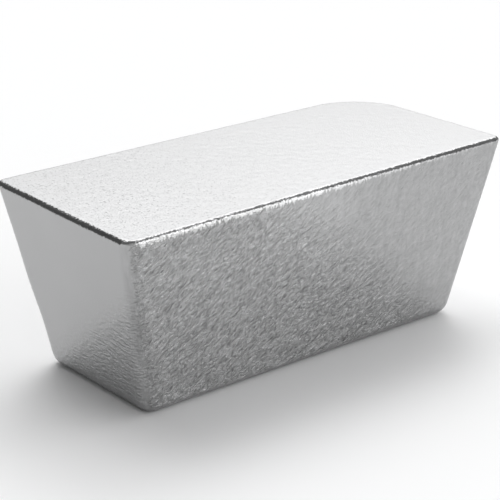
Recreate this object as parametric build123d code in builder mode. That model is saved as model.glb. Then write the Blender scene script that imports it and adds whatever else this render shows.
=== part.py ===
from build123d import *
import math
import os

# One cast ingot, lying on its small face with the poured face up.
# X runs along it, Y across it and Z up. The origin is the middle of the base.

# Driving dimensions, in millimetres and degrees
length = 300.0  # overall, at the rim of the poured face
width = 139.0  # overall, at the rim of the poured face
height = 124.0  # from the base to the poured face
end_draft = 11.5  # lean of the two end walls from upright
side_draft = 8.3  # lean of the two long walls from upright
corner_radius = 10.0  # the upright corners at the base, and the near left one all the way up
crisp_corner_radius = 3.4  # at the poured face, of the two corners next to the near left one
unfilled_corner_radius = 43.0  # at the poured face, of the one corner that is not quite full
corner_sink = 6.5  # how far the poured face sinks at that corner
base_edge_radius = 9.0  # round between the base and the walls
rim_radius = 3.0  # round between the walls and the poured face
freeboard = 6.0  # the mould stands this much above the metal


def slope(draft):
    """Sideways travel of a wall for each millimetre of its height."""
    return math.tan(math.radians(draft))


def rim_setback(draft):
    """How far the rim's round stays inside the sharp edge of wall and poured face."""
    return rim_radius * (slope(draft) + 1 / math.cos(math.radians(draft)) - 1)


# The mould's square outline at the level of the metal, at its floor and at its lip
fill_length = length + 2 * rim_setback(end_draft)
fill_width = width + 2 * rim_setback(side_draft)
floor_length = fill_length - 2 * height * slope(end_draft)
floor_width = fill_width - 2 * height * slope(side_draft)
lip_height = height + freeboard
lip_length = fill_length + 2 * freeboard * slope(end_draft)
lip_width = fill_width + 2 * freeboard * slope(side_draft)

# The space that the metal fills reaches past the mould's walls and floor. Its top falls in
# proportion to the way along times the way across, by the corner's sink at the square corner.
past_end = fill_length / 2 + freeboard
past_side = fill_width / 2 + freeboard
share_along = (past_end + fill_length / 2) / (2 * past_end)
share_across = (past_side + fill_width / 2) / (2 * past_side)
far_level = height - corner_sink / (share_along * share_across)

with BuildPart() as ingot:
    # Inside of the mould: its long section, cut to its cross section
    with BuildSketch(Plane.XZ):
        with BuildLine():
            Polyline(
                (-floor_length / 2, 0),
                (floor_length / 2, 0),
                (lip_length / 2, lip_height),
                (-lip_length / 2, lip_height),
                close=True,
            )
        make_face()
    extrude(amount=past_side, both=True)
    with BuildSketch(Plane.YZ):
        with BuildLine():
            Polyline(
                (-floor_width / 2, 0),
                (floor_width / 2, 0),
                (lip_width / 2, lip_height),
                (-lip_width / 2, lip_height),
                close=True,
            )
        make_face()
    extrude(amount=past_end, both=True, mode=Mode.INTERSECT)

    # The near left upright corner is alike all the way up
    towards_unfilled_corner = Axis((0, 0, 0), (1, 1, 0))
    near_left_edge = ingot.edges().group_by(Axis.Z)[1].sort_by(towards_unfilled_corner)[0]
    fillet(near_left_edge, corner_radius)

    # The other three: outside its round, each square corner is cut away from floor to lip. The
    # round's radius changes evenly on the way up.
    for x_side, y_side, face_radius in (
        (-1, 1, crisp_corner_radius),
        (1, -1, crisp_corner_radius),
        (1, 1, unfilled_corner_radius),
    ):
        for level, outline_length, outline_width in (
            (0, floor_length, floor_width),
            (lip_height, lip_length, lip_width),
        ):
            radius = corner_radius + (face_radius - corner_radius) * level / height
            end, side = x_side * outline_length / 2, y_side * outline_width / 2
            arc_x, arc_y = end - x_side * radius, side - y_side * radius
            outer_x, outer_y = end + x_side * freeboard, side + y_side * freeboard
            with BuildSketch(Plane.XY.offset(level)):
                with BuildLine():
                    TangentArc((arc_x, side), (end, arc_y), tangent=(x_side, 0))
                    Polyline(
                        (end, arc_y),
                        (outer_x, arc_y),
                        (outer_x, outer_y),
                        (arc_x, outer_y),
                        (arc_x, side),
                    )
                make_face()
        loft(ruled=True, mode=Mode.SUBTRACT)

    # Surface of the metal: level on the near side and at the left end, sinking to the unfilled corner
    for end, side_level in ((-past_end, height), (past_end, far_level)):
        with BuildSketch(Plane.YZ.offset(end)):
            with BuildLine():
                Polyline(
                    (-past_side, -freeboard),
                    (past_side, -freeboard),
                    (past_side, side_level),
                    (-past_side, height),
                    close=True,
                )
            make_face()
    loft(ruled=True, mode=Mode.INTERSECT)

    # Rounds of the mould's floor and of the metal's own rim
    fillet(ingot.faces().sort_by(Axis.Z)[0].edges(), base_edge_radius)
    fillet(ingot.faces().sort_by(Axis.Z)[-1].edges(), rim_radius)

ingot.part.label = "ingot"

os.makedirs("parts", exist_ok=True)
export_step(ingot.part, "parts/ingot.step")
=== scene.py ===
import math

import bpy
import numpy as np
from mathutils import Matrix, Vector


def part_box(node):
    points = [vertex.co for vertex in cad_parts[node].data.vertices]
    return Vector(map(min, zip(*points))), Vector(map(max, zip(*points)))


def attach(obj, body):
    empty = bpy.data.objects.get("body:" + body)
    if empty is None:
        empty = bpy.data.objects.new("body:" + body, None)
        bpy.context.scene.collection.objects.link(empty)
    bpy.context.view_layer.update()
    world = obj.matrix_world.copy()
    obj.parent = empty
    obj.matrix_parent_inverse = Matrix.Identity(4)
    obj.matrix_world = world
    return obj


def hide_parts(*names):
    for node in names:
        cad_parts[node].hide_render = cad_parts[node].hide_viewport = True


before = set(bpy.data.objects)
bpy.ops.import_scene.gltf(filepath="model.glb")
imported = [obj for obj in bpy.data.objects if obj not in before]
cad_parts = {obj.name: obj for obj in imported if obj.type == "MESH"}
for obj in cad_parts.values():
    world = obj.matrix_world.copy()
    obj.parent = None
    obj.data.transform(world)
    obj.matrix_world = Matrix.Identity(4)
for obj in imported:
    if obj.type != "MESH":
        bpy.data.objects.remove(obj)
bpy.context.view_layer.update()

# A cast metal block, lying on its small face: X runs along it, Y across it, Z up, in metres.
scene = bpy.context.scene
scene.view_settings.view_transform = "Standard"
print("frame loaded")

# Camera: its bearing and height as seen from the block in degrees, its distance and shifts in
# metres, and its lens in millimetres
cameraView = {
    "bearing": -39.06,
    "rise": 22.01,
    "distance": 1.4617,
    "sideways": -0.00339,
    "upwards": 0.05621,
    "focalLength": 162.09,
    "sensorWidth": 36.0,
    "clipStart": 0.05,  # in metres
}


def directionTo(bearing, rise):
    # Unit vector at a bearing round the block, from the near side towards +X, and at a height
    # above the floor, both in degrees.
    turn, tilt = math.radians(bearing), math.radians(rise)
    return Vector((math.sin(turn) * math.cos(tilt), -math.cos(turn) * math.cos(tilt), math.sin(tilt)))


def makeCamera(view):
    back = directionTo(view["bearing"], view["rise"])
    right = Vector((0, 0, 1)).cross(back).normalized()
    up = back.cross(right)
    data = bpy.data.cameras.new("camera")
    data.sensor_width = view["sensorWidth"]
    data.lens = view["focalLength"]
    data.clip_start = view["clipStart"]
    camera = bpy.data.objects.new("camera", data)
    scene.collection.objects.link(camera)
    place = back * view["distance"] + right * view["sideways"] + up * view["upwards"]
    camera.matrix_world = Matrix.Translation(place) @ Matrix((right, up, back)).transposed().to_4x4()
    scene.camera = camera


makeCamera(cameraView)
print("camera placed")

# Block: its overall size comes from the frame, its angles are in degrees, its rounds in metres
nodeLow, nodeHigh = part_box("ingot")
block = {
    "halfLength": -nodeLow.x,  # at the full corner, which reaches furthest
    "halfWidth": -nodeLow.y,
    "height": nodeHigh.z,
    "endDraft": 11.5,
    "sideDraft": 8.3,
    "cornerRound": 0.010,  # at the base, and of the near left corner all the way up
    "crispCornerRound": 0.0064,  # at the poured face, of the two next to it; the solid has 0.0034
    "unfilledCornerRound": 0.043,  # at the poured face, of the corner at +X and +Y
    "cornerSink": 0.0065,  # of the poured face at that corner
    "baseRound": 0.009,
    "rimRound": 0.003,
    "reach": 0.006,  # the sinking starts this far past the left end and the near side
    "leastRound": 0.0008,  # of a corner where the base and rim rounds pull it in
    # Steps of the grid along each side, and up the base round, the wall and the rim round
    "columnsAlong": 190,
    "columnsAcross": 86,
    "baseRows": 9,
    "wallRows": 74,
    "rimRows": 12,
}


def slopeOf(draft):
    # A wall's way outward for each step of its height: the tangent of its lean.
    return math.tan(math.radians(draft))


def sharpHalf(half, draft):
    # Half the outline's size where wall and poured face would meet without the rim's round: the
    # half plus the round's radius times the slope plus 1 over the lean's cosine less 1.
    return half + block["rimRound"] * (slopeOf(draft) + 1 / math.cos(math.radians(draft)) - 1)


sharpHalfLength = sharpHalf(block["halfLength"], block["endDraft"])
sharpHalfWidth = sharpHalf(block["halfWidth"], block["sideDraft"])


def sinkAt(x, y):
    # The poured face sinks in proportion to the way along times the way across.
    reach = block["reach"]
    along = (x + sharpHalfLength + reach) / (2 * sharpHalfLength + reach)
    across = (y + sharpHalfWidth + reach) / (2 * sharpHalfWidth + reach)
    return block["cornerSink"] * along * across


def insetAt(z, level, draft):
    # How far inside the sharp outline a wall stands at height z: the height missing times the
    # wall's slope, and near the base and the rim the circle that touches wall and face.
    slope, lean = slopeOf(draft), math.radians(draft)
    inset = (block["height"] - z) * slope
    radius = block["baseRound"]
    centre = (block["height"] - radius) * slope + radius / math.cos(lean)
    circle = centre - np.sqrt(np.clip(radius**2 - (z - radius) ** 2, 0, None))
    inset = np.where(z < radius * (1 - math.sin(lean)), circle, inset)
    radius = block["rimRound"]
    centre = (block["height"] - level + radius) * slope + radius / math.cos(lean)
    circle = centre - np.sqrt(np.clip(radius**2 - (z - level + radius) ** 2, 0, None))
    return np.where(z > level - radius * (1 + math.sin(lean)), circle, inset)


def sidePath(share, half, out, firstRound, lastRound):
    # One side of a rounded rectangle, from the middle of its first corner to the middle of its
    # last: half an arc, a straight run and half an arc, with the points at even shares of the
    # length. Gives the place along the side and the place outward.
    firstArc = firstRound * math.pi / 4
    lastArc = lastRound * math.pi / 4
    straight = 2 * half - firstRound - lastRound
    way = share * (firstArc + straight + lastArc)
    turn = (way - firstArc) / firstRound
    onFirst = way < firstArc
    along = np.where(onFirst, firstRound * np.sin(turn), way - firstArc) - half + firstRound
    outward = np.where(onFirst, out - firstRound + firstRound * np.cos(turn), out)
    turn = (way - firstArc - straight) / lastRound
    onLast = turn > 0
    along = np.where(onLast, half - lastRound + lastRound * np.sin(turn), along)
    outward = np.where(onLast, out - lastRound + lastRound * np.cos(turn), outward)
    return along, outward


def roundAt(z, faceRound, taken):
    # A corner's radius goes evenly from its value at the base to that at the poured face, and
    # loses what the base and rim rounds take.
    fromBase = block["cornerRound"] * (1 - z / block["height"])
    fromFace = faceRound * z / block["height"]
    return np.maximum(fromBase + fromFace - taken, block["leastRound"])


def ringsAt(z, level):
    # The closed outline of every row: near side, right end, far side and left end in turn. Each
    # has its points, half its length, its way out, the rounds of its two corners and its direction.
    endInset = insetAt(z, level, block["endDraft"])
    sideInset = insetAt(z, level, block["sideDraft"])
    halfAlong, halfAcross = sharpHalfLength - endInset, sharpHalfWidth - sideInset
    missing = block["height"] - z
    endTaken = endInset - missing * slopeOf(block["endDraft"])
    sideTaken = sideInset - missing * slopeOf(block["sideDraft"])
    taken = np.minimum(endTaken, sideTaken)
    full = roundAt(z, block["cornerRound"], taken)
    crisp = roundAt(z, block["crispCornerRound"], taken)
    unfilled = roundAt(z, block["unfilledCornerRound"], taken)
    sides = (
        (block["columnsAlong"], halfAlong, halfAcross, full, crisp, (1, 0)),
        (block["columnsAcross"], halfAcross, halfAlong, crisp, unfilled, (0, 1)),
        (block["columnsAlong"], halfAlong, halfAcross, unfilled, crisp, (-1, 0)),
        (block["columnsAcross"], halfAcross, halfAlong, crisp, full, (0, -1)),
    )
    x, y = np.empty_like(z), np.empty_like(z)
    first = 0
    for count, *measures, (towardsX, towardsY) in sides:
        part = slice(first, first + count)
        share = np.linspace(0, 1, count, endpoint=False)[None, :]
        along, outward = sidePath(share, *(measure[:, part] for measure in measures))
        x[:, part] = towardsX * along + towardsY * outward
        y[:, part] = towardsY * along - towardsX * outward
        first += count
    return x, y


def wallGrid():
    # Rows from the base to the poured face: even steps of angle over the base round and the rim
    # round, and even steps of height between them. The level of each column is where its rim
    # meets the sinking face, found by going round twice.
    base, rim = block["baseRound"], block["rimRound"]
    baseTurn = np.linspace(0, math.pi / 2, block["baseRows"] + 1)[:, None]
    rimTurn = np.linspace(0, math.pi / 2, block["rimRows"] + 1)[:, None]
    share = np.linspace(0, 1, block["wallRows"] + 1)[1:-1, None]
    level = np.full((1, 2 * (block["columnsAlong"] + block["columnsAcross"])), block["height"])
    for _ in range(2):
        low = base * (1 - np.cos(baseTurn)) + 0 * level
        middle = base + share * (level - rim - base)
        high = level - rim + rim * np.sin(rimTurn)
        z = np.vstack((low, middle, high))
        x, y = ringsAt(z, level)
        level = block["height"] - sinkAt(x[-1:], y[-1:])
    return x, y, z


def capGrid(x, y):
    # Fills a closed ring with a grid: the blend between the long sides plus the blend between
    # the short sides, less the blend of the four corners.
    along, across = block["columnsAlong"], block["columnsAcross"]
    ring = np.stack((x, y), -1)
    near = ring[: along + 1]
    right = ring[along : along + across + 1]
    far = ring[along + across : 2 * along + across + 1][::-1]
    left = np.vstack((ring[2 * along + across :], ring[:1]))[::-1]
    u = np.linspace(0, 1, along + 1)[:, None, None]
    v = np.linspace(0, 1, across + 1)[None, :, None]
    grid = (1 - v) * near[:, None] + v * far[:, None] + (1 - u) * left[None] + u * right[None]
    return grid - (1 - v) * ((1 - u) * near[0] + u * near[-1]) - v * ((1 - u) * far[0] + u * far[-1])


def capNumbers(ringStart, innerStart):
    # Vertex numbers of a cap's grid, whose edge is the ring itself.
    along, across = block["columnsAlong"], block["columnsAcross"]
    ring = ringStart + np.arange(2 * (along + across) + 1) % (2 * (along + across))
    grid = np.empty((along + 1, across + 1), int)
    grid[1:-1, 1:-1] = innerStart + np.arange((along - 1) * (across - 1)).reshape(along - 1, across - 1)
    grid[:, 0] = ring[: along + 1]
    grid[-1, :] = ring[along : along + across + 1]
    grid[:, -1] = ring[along + across : 2 * along + across + 1][::-1]
    grid[0, :] = ring[2 * along + across :][::-1]
    return grid


def quadsOf(grid):
    # The faces between the neighbours of a grid of vertex numbers.
    return np.stack((grid[:-1, :-1], grid[1:, :-1], grid[1:, 1:], grid[:-1, 1:]), -1).reshape(-1, 4)


def blockSurface():
    # The smooth block: rings up the wall, closed by a grid over the poured face and the base.
    x, y, z = wallGrid()
    rows, columns = z.shape
    numbers = np.arange(rows * columns).reshape(rows, columns)
    wall = np.hstack((numbers, numbers[:, :1])).T
    top = capGrid(x[-1], y[-1])[1:-1, 1:-1].reshape(-1, 2)
    base = capGrid(x[0], y[0])[1:-1, 1:-1].reshape(-1, 2)
    points = np.vstack((
        np.stack((x, y, z), -1).reshape(-1, 3),
        np.column_stack((top, block["height"] - sinkAt(top[:, 0], top[:, 1]))),
        np.column_stack((base, np.zeros(len(base)))),
    ))
    topNumbers = capNumbers((rows - 1) * columns, rows * columns)
    baseNumbers = capNumbers(0, rows * columns + len(top))
    quads = np.vstack((quadsOf(wall), quadsOf(topNumbers), quadsOf(baseNumbers)[:, ::-1]))
    return points, quads


def normalsOf(points, quads):
    # At each vertex, the sum of its faces' normals, brought to unit length.
    corners = points[quads]
    faces = np.cross(corners[:, 2] - corners[:, 0], corners[:, 3] - corners[:, 1])
    total = np.zeros_like(points)
    for corner in range(4):
        np.add.at(total, quads[:, corner], faces)
    return total / np.linalg.norm(total, axis=1)[:, None]


# Relief of the cast skin, in metres. Waves have a length, a height and a seed. A mark fades in
# between its two limits, and a turn's limits are shares of the normal that point its way.
relief = {
    "swell": (0.055, 0.00014, 11),  # broad unevenness of the walls
    "lump": (0.0056, 0.00008, 12),  # hammered look of the long walls
    "pebble": (0.0052, 0.000022, 13),  # pebbling of the poured face
    "ragged": (0.007, 0.00010, 14),  # wander of the rim
    "waveCount": 56,
    "waveSpread": (0.7, 1.4),  # of the waves' lengths, times the one given
    "grainLine": (0.66, 0.0, 0.75),  # the lumps are longer this way
    "grainStretch": 2.0,
    "sunkBy": 0.00028,  # the skin lies this far inside the smooth block, so no lump stands proud
    "pouredTurn": (0.55, 0.97),  # up
    "baseTurn": (0.75, 0.98),  # down
    # The lumps lie on the long walls, which are rough at the left foot and calm from where z plus
    # a part of x reaches these
    "lumpyTurn": (0.50, 0.95),  # sideways
    "calm": (0.045, 0.120),
    "calmSlant": 0.9,
    "calmShare": 0.72,
    # The end walls are smooth, but for the near foot, below these values of z plus a part of y
    "footTurn": (0.6, 0.9),  # lengthways
    "foot": (0.025, 0.060),
    "footSlant": 0.7,
    # A point is on an end wall where its way to the end is this much shorter than its way to the
    # near side, and than its way to the far side
    "nearCorner": (0.0055, 0.0085),
    "farCorner": (0.0, 0.002),
    # Painted shading of the long walls: their tint is raised by these at the foot and at the rim, so
    # lighter towards the rim and darker towards the foot, over this height, and the change ends between
    # these places along the block
    "wallPaintedShading": (0.08, 0.25),
    "toneTurn": (0.70, 0.95),  # sideways
    "toneRise": (0.025, 0.105),
    "toneEnd": (-0.04, 0.06),
    # Painted shade: a darker band on the upright corners, standing in for a dark reflection, from its
    # foot to its head
    "bandEndTurn": (0.45, 0.80),  # lengthways
    "bandSideTurn": (0.25, 0.60),  # sideways
    "bandFoot": (0.030, 0.055),
    "bandHead": (0.060, 0.100),
    "rimFade": (0.002, 0.009),  # the rim's marks end at this depth below the poured face
    "longRimTurn": (0.90, 0.985),  # sideways, of the level part of the normal alone
    "edgeTurn": (0.005, 0.03),  # away from up
    "rightward": (-0.13, 0.15),  # places along the block
    "speckEnd": (-0.14, 0.06),  # places along the block between which the specks thin out
    "speckRest": 0.25,  # share of the specks at the right
}


def smoothStep(low, high, value):
    # Three times the square of the way from low to high, less twice its cube.
    share = np.clip((value - low) / (high - low), 0, 1)
    return share * share * (3 - 2 * share)


def between(low, high, share):
    # Goes evenly from low to high as the share goes from 0 to 1.
    return low + share * (high - low)


def waves(points, wavelength, seed):
    # A sum of cosine waves in random directions, of lengths around the one given, with a
    # spread of one.
    count = relief["waveCount"]
    random = np.random.default_rng(seed)
    direction = random.normal(size=(3, count))
    direction /= np.linalg.norm(direction, axis=0)
    length = wavelength * random.uniform(*relief["waveSpread"], count)
    phase = random.uniform(0, 2 * math.pi, count)
    return math.sqrt(2 / count) * np.cos(points @ (2 * math.pi * direction / length) + phase).sum(1)


def shortenedAlong(points, line, stretch):
    # Points moved towards the plane across a line, so that a pattern drawn on them comes out
    # longer along it.
    line = np.array(line) / np.linalg.norm(line)
    return points + np.outer(points @ line, line) * (1 / stretch - 1)


def facesOf(normals):
    # The shares of poured face, base and wall at each point, by how far its normal points up or
    # down.
    poured = smoothStep(*relief["pouredTurn"], normals[:, 2])
    base = smoothStep(*relief["baseTurn"], -normals[:, 2])
    return poured, base, (1 - poured) * (1 - base)


def wallPaintedShadingOf(x, z, wall, sideways):
    # The painted shading goes evenly from foot to rim and fades out towards the right.
    wallPaintedShading = between(*relief["wallPaintedShading"], smoothStep(*relief["toneRise"], z))
    wallPaintedShading *= wall * smoothStep(*relief["toneTurn"], sideways)
    return wallPaintedShading * (1 - smoothStep(*relief["toneEnd"], x))


def marksOf(points, normals, poured, wall):
    # What the finish reads at each point: products of smooth steps of its place and its normal.
    x, y, z = points.T
    lengthways, sideways = np.abs(normals[:, 0]), np.abs(normals[:, 1])
    calm = relief["calmShare"] * smoothStep(*relief["calm"], z + relief["calmSlant"] * x)
    foot = 1 - smoothStep(*relief["foot"], z + relief["footSlant"] * y)
    # Painted shade on the upright corners, a dark reflection put into the tint
    cornerPaintedShade = smoothStep(*relief["bandEndTurn"], lengthways)
    cornerPaintedShade *= smoothStep(*relief["bandSideTurn"], sideways)
    cornerPaintedShade *= smoothStep(*relief["bandFoot"], z) * (1 - smoothStep(*relief["bandHead"], z))
    fromEnd = block["halfLength"] - np.abs(x)
    fromNear, fromFar = block["halfWidth"] + y, block["halfWidth"] - y
    end = smoothStep(*relief["nearCorner"], fromNear - fromEnd)
    end *= smoothStep(*relief["farCorner"], fromFar - fromEnd)
    belowFace = block["height"] - sinkAt(x, y) - z
    rim = (1 - smoothStep(*relief["rimFade"], belowFace)) * (1 - poured)
    level = np.hypot(lengthways, sideways)
    facing = np.divide(sideways, level, out=np.zeros_like(level), where=level > 0)
    leftward = 1 - smoothStep(*relief["speckEnd"], x)
    return {
        "poured": poured,
        "lumpy": wall * smoothStep(*relief["lumpyTurn"], sideways) * (1 - calm),
        "cornerPaintedShade": cornerPaintedShade * wall,
        "wallPaintedShading": wallPaintedShadingOf(x, z, wall, sideways),
        "end": end,
        "rightward": smoothStep(*relief["rightward"], x),
        "rim": rim,
        "longRim": rim * smoothStep(*relief["longRimTurn"], facing),
        "edge": smoothStep(*relief["edgeTurn"], 1 - normals[:, 2]),  # 0 on the poured face, 1 off it
        "below": belowFace * 1000,  # millimetres below the poured face
        "foot": foot * wall * smoothStep(*relief["footTurn"], lengthways),
        "speckled": poured * between(relief["speckRest"], 1, leftward),
    }


def addRelief(points, normals):
    # Moves each point along its normal, inwards only, by the sum of the waves that its place
    # calls for, and gives the marks too.
    poured, base, wall = facesOf(normals)
    marks = marksOf(points, normals, poured, wall)
    length, tall, seed = relief["swell"]
    height = tall * waves(points, length, seed) * wall
    length, tall, seed = relief["lump"]
    stretched = shortenedAlong(points, relief["grainLine"], relief["grainStretch"])
    height += tall * np.tanh(waves(stretched, length, seed)) * marks["lumpy"]
    length, tall, seed = relief["pebble"]
    height += tall * waves(points, length, seed) * poured
    length, tall, seed = relief["ragged"]
    height += tall * waves(points, length, seed) * marks["rim"]
    height = np.minimum(height - relief["sunkBy"], 0) * (1 - base)
    return points + normals * height[:, None], marks


def makeBlock():
    points, quads = blockSurface()
    points, marks = addRelief(points, normalsOf(points, quads))
    mesh = bpy.data.meshes.new("castBlock")
    mesh.from_pydata(points.tolist(), [], quads.tolist())
    mesh.shade_smooth()
    for name, values in marks.items():
        mesh.attributes.new(name, "FLOAT", "POINT").data.foreach_set("value", values.astype(np.float32))
    piece = bpy.data.objects.new("castBlock", mesh)
    scene.collection.objects.link(piece)
    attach(piece, "root")
    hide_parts("ingot")
    print("block made:", 2 * len(quads), "triangles")
    return piece


castBlock = makeBlock()


class Wire:
    # A socket of a node tree. An expression on wires adds the Math nodes that work it out.
    def __init__(self, tree, socket=None):
        self.tree, self.socket = tree, socket

    def add(self, kind, settings=None, inputs=None, output=0):
        # Any node: its type, its settings, and the values or wires of its sockets.
        made = self.tree.nodes.new(kind)
        for name, value in (settings or {}).items():
            setattr(made, name, value)
        for name, value in (inputs or {}).items():
            if isinstance(value, Wire):
                self.tree.links.new(value.socket, made.inputs[name])
            else:
                made.inputs[name].default_value = value
        return Wire(self.tree, made.outputs[output]) if len(made.outputs) else None

    def maths(self, operation, *values):
        return self.add("ShaderNodeMath", {"operation": operation}, dict(enumerate(values)))

    def marks(self, *names):
        # The piece's own attributes.
        return [self.add("ShaderNodeAttribute", {"attribute_name": name}, output="Fac") for name in names]

    def drawnOut(self, place, stretch, turn=0.0):
        # A pattern on this place is that many times longer in each direction, and then turned
        # about Y by the degrees given.
        values = {"Vector": place, "Rotation": (0, -math.radians(turn), 0), "Scale": stretch}
        return self.add("ShaderNodeMapping", {"vector_type": "TEXTURE"}, values)

    def noise(self, place, scale, detail, roughness=0.5):
        values = {"Vector": place, "Scale": scale, "Detail": detail, "Roughness": roughness}
        return self.add("ShaderNodeTexNoise", inputs=values)

    def ripple(self, place, *pattern):
        # Noise goes about a half, and a ripple about zero.
        return self.noise(place, *pattern) - 0.5

    def step(self, low, high, value):
        # Rises smoothly from 0 to 1 as the value goes from low to high.
        values = {"Value": value, "From Min": low, "From Max": high}
        return self.add("ShaderNodeMapRange", {"interpolation_type": "SMOOTHSTEP"}, values)

    def mixColours(self, first, second, share):
        # A Mix node's colour sockets go by number, because its socket names repeat.
        values = {"Factor": share, 6: (*first, 1), 7: (*second, 1)}
        return self.add("ShaderNodeMix", {"data_type": "RGBA"}, values, output=2)

    def __add__(self, other):
        return self.maths("ADD", self, other)

    def __radd__(self, other):
        return self.maths("ADD", other, self)

    def __sub__(self, other):
        return self.maths("SUBTRACT", self, other)

    def __rsub__(self, other):
        return self.maths("SUBTRACT", other, self)

    def __mul__(self, other):
        return self.maths("MULTIPLY", self, other)

    def __rmul__(self, other):
        return self.maths("MULTIPLY", other, self)


def newMaterial(name):
    material = bpy.data.materials.new(name)
    material.use_nodes = True
    material.node_tree.nodes.clear()
    return material, Wire(material.node_tree)


# Finish of the metal, with the relief that the mesh is too coarse for. A pattern has features to
# a metre, detail and, if not a half, roughness. Depths are in metres, and shades and gains are
# shares of the tint.
skin = {
    "wallTint": (0.42, 0.421, 0.424),
    "pouredTint": (0.464, 0.465, 0.468),
    "pouredPaintedSheen": 0.09,  # painted sheen of the poured face, rising from left to right
    "wallRoughness": 0.285,
    "pouredRoughness": 0.42,
    # painted shade of the upright corners' band
    "cornerPaintedShadeAmount": 0.28,
    # Crinkles of the long walls, and the finer bites in them, bumped, with painted shade in their hollows
    # and lighter crests
    "crinkle": (330.0, 4.0, 0.7),
    "crinkleStretch": (2.5, 1.0, 1.0),
    "crinkleTurn": 44.0,  # degrees that they slope
    "crinkleDepth": 0.0036,
    "bite": (880.0, 2.0),
    "biteDepth": 0.0010,
    # painted shade in the hollows and painted highlight on the crests
    "hollowPaintedShade": 1.5,
    # Furrows of the end walls, which run across the block
    "furrow": (640.0, 3.0),
    "furrowStretch": (1.0, 3.0, 1.0),
    "furrowDepth": 0.0010,
    # Upright streaks of the long walls, and teeth that hang from the rim
    "uprightStretch": (1.0, 1.0, 12.0),
    "streak": (380.0, 3.0),
    "streakShade": 0.32,
    "tooth": (620.0, 2.0),
    "toothDepth": 0.0005,
    "grain": (1000.0, 2.0),
    "grainDepth": 0.00012,
    # Specks of the poured face, where their noise passes these
    "speck": (800.0, 2.0),
    "speckFrom": (0.56, 0.68),
    "speckDepth": 0.00005,
    "speckShade": 0.38,
    # Dark line round the rim, a matt edge with a painted dark reflection: at the left and the right of
    # the long walls, and at the ends. Feet and wander are in millimetres below the poured face.
    "rimLinePaintedShade": (0.45, 0.64, 0.70),
    "lineFoot": (0.9, 2.1, 3.0),
    "lineWander": 3.2,
    "lineBlur": 0.2,
    "lineRoughness": 0.45,  # added to the metal's own
    # Painted highlight: a bright strip under the line, at the left and the right of the long walls
    "stripPaintedHighlight": (1.4, 0.2),
    "stripFoot": (3.6, 2.9),
    "stripWander": 13.0,
    "stripBlur": (-0.3, 0.5),
}


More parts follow.
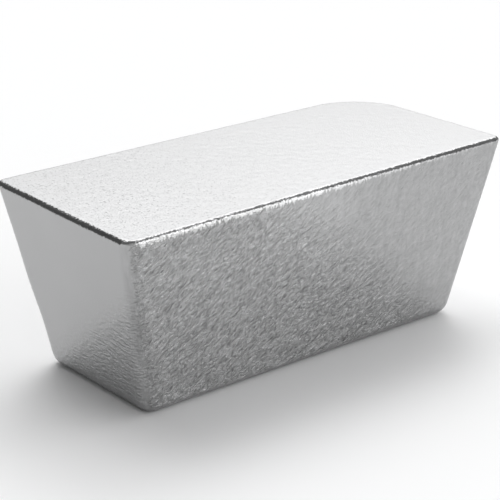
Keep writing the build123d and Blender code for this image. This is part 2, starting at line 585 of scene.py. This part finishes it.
def castMetal():
    # The tint goes from wall to poured face. Its shade is 1, plus streaks, the painted shade and
    # highlight of crinkles and bites, the long walls' painted shading, the poured face's painted sheen
    # and the strip's painted highlight, less specks and the corner bands' painted shade, and the line's
    # painted dark reflection darkens it all. The line is also matt. The bump adds up the patterns, each
    # times the mark of its place.
    material, graph = newMaterial("castMetal")
    place = graph.add("ShaderNodeTexCoord", output="Object")
    poured, lumpy, cornerPaintedShade, wallPaintedShading = graph.marks("poured", "lumpy", "cornerPaintedShade", "wallPaintedShading")
    end, rightward, rim, longRim = graph.marks("end", "rightward", "rim", "longRim")
    edge, below, foot, speckled = graph.marks("edge", "below", "foot", "speckled")
    turned = graph.drawnOut(place, skin["crinkleStretch"], skin["crinkleTurn"])
    across = graph.drawnOut(place, skin["furrowStretch"])
    upright = graph.drawnOut(place, skin["uprightStretch"])
    crinkle = graph.ripple(turned, *skin["crinkle"])
    bite = graph.ripple(turned, *skin["bite"])
    furrow = graph.ripple(across, *skin["furrow"])
    streak = graph.ripple(upright, *skin["streak"])
    tooth = graph.ripple(upright, *skin["tooth"])
    grain = graph.ripple(place, *skin["grain"])
    speck = speckled * graph.step(*skin["speckFrom"], graph.noise(place, *skin["speck"]))
    wandering = below + grain * skin["lineWander"]
    lineFoot, rimLinePaintedShade = (
        between(between(left, right, rightward), ends, end)
        for left, right, ends in (skin["lineFoot"], skin["rimLinePaintedShade"])
    )
    blur = skin["lineBlur"]
    line = edge * graph.step(0.0, blur, wandering) * graph.step(-blur, blur, lineFoot - wandering)
    hanging = between(*skin["stripFoot"], rightward) + tooth * skin["stripWander"]
    # the bright strip under the rim line is a painted highlight
    strip = longRim * graph.step(-blur, blur, wandering - lineFoot)
    strip = strip * graph.step(*skin["stripBlur"], hanging - below)
    shade = 1 + streak * skin["streakShade"] * (1 - poured) * (1 - end)
    # painted shade in the crinkles' hollows, painted highlight on their crests
    shade = shade + (crinkle + bite) * skin["hollowPaintedShade"] * lumpy
    # painted shading of the long walls, and painted shade of the corner bands
    shade = shade + wallPaintedShading - speck * skin["speckShade"] - cornerPaintedShade * skin["cornerPaintedShadeAmount"]
    # painted sheen, lighter towards the right of the poured face
    shade = shade + poured * rightward * skin["pouredPaintedSheen"]
    shade = shade + strip * between(*skin["stripPaintedHighlight"], rightward)
    # the rim line's painted dark reflection
    shade = shade * (1 - line * rimLinePaintedShade)
    tint = graph.mixColours(skin["wallTint"], skin["pouredTint"], poured)
    tint = graph.add("ShaderNodeVectorMath", {"operation": "SCALE"}, {0: tint, "Scale": shade})
    roughness = between(skin["wallRoughness"], skin["pouredRoughness"], poured)
    roughness = roughness + line * skin["lineRoughness"]
    height = lumpy * (crinkle * skin["crinkleDepth"] + bite * skin["biteDepth"])
    height = height + grain * skin["grainDepth"] + furrow * foot * skin["furrowDepth"]
    height = height + tooth * rim * skin["toothDepth"] - speck * skin["speckDepth"]
    bump = graph.add("ShaderNodeBump", inputs={"Strength": 1.0, "Distance": 1.0, "Height": height})
    finish = {"Base Color": tint, "Metallic": 1.0, "Roughness": roughness, "Normal": bump}
    shader = graph.add("ShaderNodeBsdfPrincipled", inputs=finish)
    graph.add("ShaderNodeOutputMaterial", inputs={"Surface": shader})
    return material


castBlock.data.materials.append(castMetal())
print("finish made")

# Room: a wide pale floor under soft patches of light
room = {
    "floorTint": (0.93, 0.932, 0.935),
    "floorHalf": 30.0,
    "patches": (
        # bearing and height in degrees, tightness, strength
        (135, 45, 12.0, 2.5),
        (135, 45, 40.0, 3.3),
        (180, 68, 12.0, 0.5),
        (180, 68, 40.0, 4.4),
        (75, 25, 12.0, 1.8),
        (45, 8, 12.0, 1.6),
        (0, 25, 12.0, 1.1),
        (0, 90, 0.0, 0.18),  # even all round
    ),
}


def makeFloor():
    material, graph = newMaterial("paleFloor")
    matt = graph.add("ShaderNodeBsdfDiffuse", inputs={"Color": (*room["floorTint"], 1)})
    graph.add("ShaderNodeOutputMaterial", inputs={"Surface": matt})
    half = room["floorHalf"]
    corners = [(-half, -half, 0), (half, -half, 0), (half, half, 0), (-half, half, 0)]
    mesh = bpy.data.meshes.new("floor")
    mesh.from_pydata(corners, [], [(0, 1, 2, 3)])
    mesh.materials.append(material)
    floor = bpy.data.objects.new("floor", mesh)
    scene.collection.objects.link(floor)


def makeSurround():
    # The light from a direction: for each patch, its strength times e to the power of its
    # tightness times the cosine of the angle to its middle less one.
    world = bpy.data.worlds.new("surround")
    scene.world = world
    world.use_nodes = True
    world.node_tree.nodes.clear()
    graph = Wire(world.node_tree)
    direction = graph.add("ShaderNodeTexCoord", output="Generated")
    light = 0.0
    for bearing, rise, tightness, strength in room["patches"]:
        ends = {0: direction, 1: tuple(directionTo(bearing, rise))}
        cosine = graph.add("ShaderNodeVectorMath", {"operation": "DOT_PRODUCT"}, ends, output="Value")
        light = light + strength * graph.maths("EXPONENT", (cosine - 1) * tightness)
    background = graph.add("ShaderNodeBackground", inputs={"Color": (1, 1, 1, 1), "Strength": light})
    graph.add("ShaderNodeOutputWorld", inputs={"Surface": background})


makeFloor()
makeSurround()
print("floor and light made")
